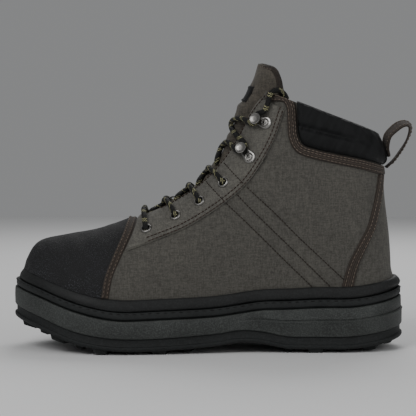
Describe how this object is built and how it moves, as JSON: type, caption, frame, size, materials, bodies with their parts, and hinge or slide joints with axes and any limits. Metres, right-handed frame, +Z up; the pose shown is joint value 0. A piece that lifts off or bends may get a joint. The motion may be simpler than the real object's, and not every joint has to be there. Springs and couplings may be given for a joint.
{
  "type": "wading boot",
  "caption": "Left lace-up wading boot with a padded collar, pebbled toe cap, eyelets and speed hooks, and a thick lugged sole.",
  "frame": {"origin": "on the floor, halfway along the boot and across its ball", "axes": "+Z up, the toe to -X, the heel to +X, the outer side of the foot to -Y and the inner side to +Y"},
  "size_m": [0.3253, 0.1178, 0.2314],
  "materials": {
    "cloth": "olive grey woven nylon",
    "cap": "black pebbled coating",
    "braid": "brown woven braid",
    "neoprene": "black knit-faced foam",
    "rubber": "matt black",
    "foam": "matt grey-green foam",
    "nickel": "polished dark nickel",
    "lace": "braided cord with fine olive flecks",
    "lining": "grey lining"
  },
  "bodies": {
    "root": {"collar_binding": "braid", "collar_pad": "neoprene", "eyelet_lateral_1": "nickel", "eyelet_lateral_2": "nickel", "eyelet_lateral_3": "nickel", "eyelet_lateral_4": "nickel", "eyelet_medial_1": "nickel", "eyelet_medial_2": "nickel", "eyelet_medial_3": "nickel", "eyelet_medial_4": "nickel", "eyestay_lateral": "cloth", "eyestay_medial": "cloth", "heel_piping_lateral": "braid", "heel_piping_medial": "braid", "hook_lateral_lower": "nickel", "hook_lateral_upper": "nickel", "hook_medial_lower": "nickel", "hook_medial_upper": "nickel", "insole": "lining", "lace_bar": "lace", "lace_crossing_1": "lace", "lace_crossing_2": "lace", "lace_crossing_3": "lace", "lace_crossing_4": "lace", "lace_crossing_5": "lace", "lace_end_lateral": "lace", "lace_end_medial": "lace", "lace_keeper": "rubber", "midsole": "foam", "outsole": "rubber", "pull_loop": "braid", "rand": "rubber", "toe_binding": "braid", "toe_cap": "cap", "tongue": "cloth", "tongue_patch": "cap", "upper": "cloth", "welt": "rubber"}
  },
  "joints": []
}
